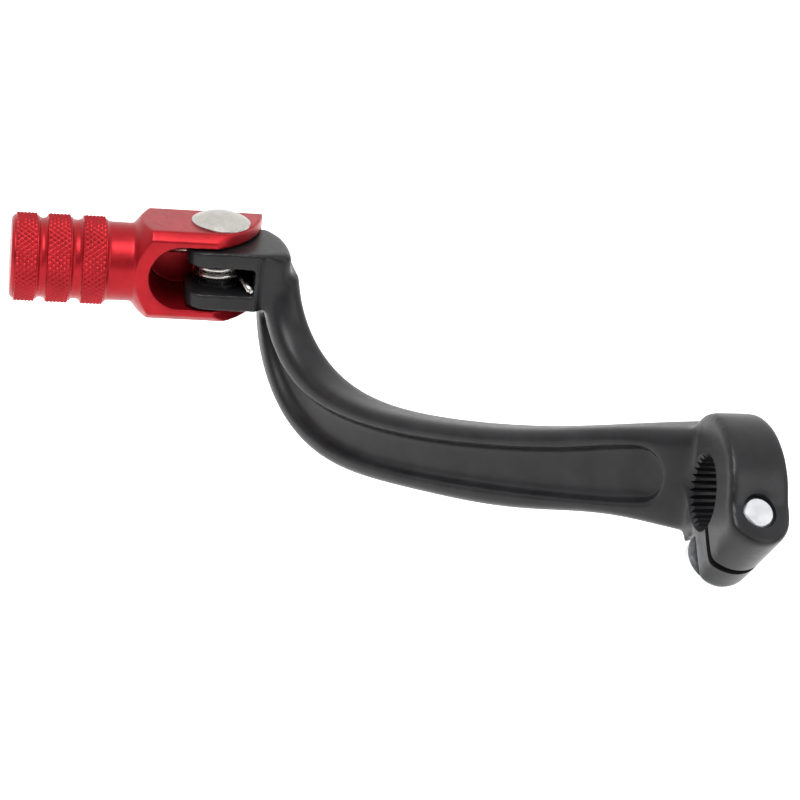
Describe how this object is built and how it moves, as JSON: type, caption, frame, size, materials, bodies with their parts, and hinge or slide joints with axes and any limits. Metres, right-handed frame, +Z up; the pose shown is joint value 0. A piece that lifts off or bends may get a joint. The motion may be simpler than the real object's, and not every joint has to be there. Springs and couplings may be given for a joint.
{
  "type": "gear shift lever",
  "caption": "Forged motorcycle gear shift lever: recessed arm with a splined split clamp boss and a sprung folding knurled toe tip.",
  "frame": {"origin": "on the axis of the splined bore, inside the clamp boss", "axes": "+Y along the shift shaft, outboard; +X forward, towards the toe tip; +Z up"},
  "size_m": [0.1452, 0.1034, 0.0452],
  "materials": {
    "black_forging": "satin",
    "red_anodised": "satin",
    "stainless": "satin",
    "zinc_bolt": "satin",
    "dark_polymer": "satin"
  },
  "bodies": {
    "arm": {"lever_arm": "black_forging", "pinch_bolt": "zinc_bolt", "pivot_bush_upper": "dark_polymer", "pivot_bush_lower": "dark_polymer", "spring_sleeve": "dark_polymer", "torsion_spring": "stainless"},
    "tip": {"tip_body": "red_anodised", "pivot_pin": "stainless", "pivot_screw": "stainless"}
  },
  "joints": [
    {"name": "tip_fold", "type": "hinge", "parent": "arm", "child": "tip", "pos_m": [0.11025, 0.05892, -0.00522], "axis": [0, 0.0715, 0.9974], "range_deg": [0, 88], "stiffness_Nm_per_rad": 0.12, "springref_deg": -68.75, "deforming": ["torsion_spring"]}
  ]
}
